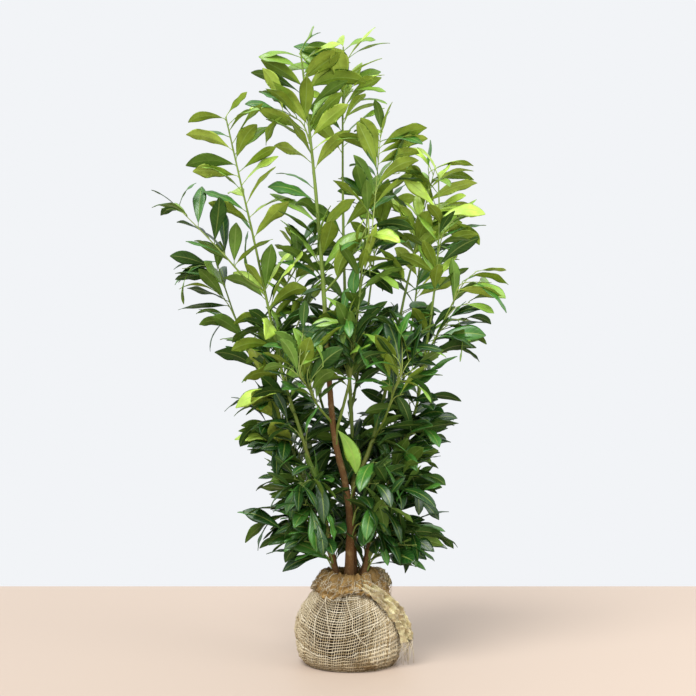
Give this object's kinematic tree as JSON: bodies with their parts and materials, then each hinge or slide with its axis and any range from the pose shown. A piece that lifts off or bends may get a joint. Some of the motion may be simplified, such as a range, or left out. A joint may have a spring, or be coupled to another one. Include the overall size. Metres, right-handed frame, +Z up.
{
  "type": "root-balled evergreen hedging shrub",
  "caption": "Tall multi-stemmed broad-leaved evergreen hedging shrub, leafy from foot to tip, with its root ball wrapped in hessian, standing on the ball's flat underside.",
  "frame": {"origin": "middle of the root ball's flat underside, on the surface that the plant stands on", "axes": "+Z up from the root ball to the leading shoots, +X to the right of the front, -Y towards the front, where the trunk shows between the leaves"},
  "size_m": [1.0159, 0.5729, 1.866],
  "materials": {
    "bark": "rough brown bark with pale breathing pores on the trunk, smooth green bark higher up",
    "green_bark": "smooth green bark of this year's and last year's shoots",
    "leaves": "leathery leaves, glossy deep green above and duller olive below, yellow-green when young",
    "root_ball": "dark soil under an open weave of coarse beige jute",
    "hessian": "matt coarse jute cloth, frayed at its edges"
  },
  "bodies": {
    "root": {"back_centre_bough": "green_bark", "back_centre_top_leaves": "leaves", "back_heart_leaves": "leaves", "back_left_bough": "green_bark", "back_left_low_leaves": "leaves", "back_left_top_leaves": "leaves", "back_right_low_leaves": "leaves", "back_right_stem": "bark", "back_right_top_leaves": "leaves", "centre_middle_leaves": "leaves", "centre_stem": "bark", "centre_top_leaves": "leaves", "far_left_bough": "green_bark", "far_left_low_leaves": "leaves", "far_left_middle_leaves": "leaves", "far_left_stem": "bark", "far_left_top_leaves": "leaves", "far_right_bough": "green_bark", "far_right_leaves": "leaves", "far_right_low_leaves": "leaves", "fork_bough": "green_bark", "front_bough": "green_bark", "front_heart_leaves": "leaves", "front_left_bough": "green_bark", "front_left_leaves": "leaves", "front_left_low_leaves": "leaves", "front_right_bough": "green_bark", "front_right_leaves": "leaves", "front_right_low_leaves": "leaves", "heart_leaves": "leaves", "hessian_collar": "hessian", "hessian_ear": "hessian", "hessian_tail": "hessian", "inner_left_bough": "green_bark", "inner_left_leaves": "leaves", "inner_right_bough": "green_bark", "left_heart_leaves": "leaves", "left_leader_middle_leaves": "leaves", "left_leader_top_leaves": "leaves", "left_low_leaves": "leaves", "left_middle_leaves": "leaves", "left_stem": "bark", "left_top_leaves": "leaves", "left_waist_leaves": "leaves", "right_heart_leaves": "leaves", "right_inner_middle_leaves": "leaves", "right_inner_top_leaves": "leaves", "right_low_leaves": "leaves", "right_middle_leaves": "leaves", "right_stem": "bark", "right_top_leaves": "leaves", "right_waist_leaves": "leaves", "root_ball": "root_ball", "skirt_back_leaves": "leaves", "skirt_left_leaves": "leaves", "skirt_right_leaves": "leaves", "trunk": "bark", "trunk_side_leaves": "leaves"}
  },
  "joints": []
}
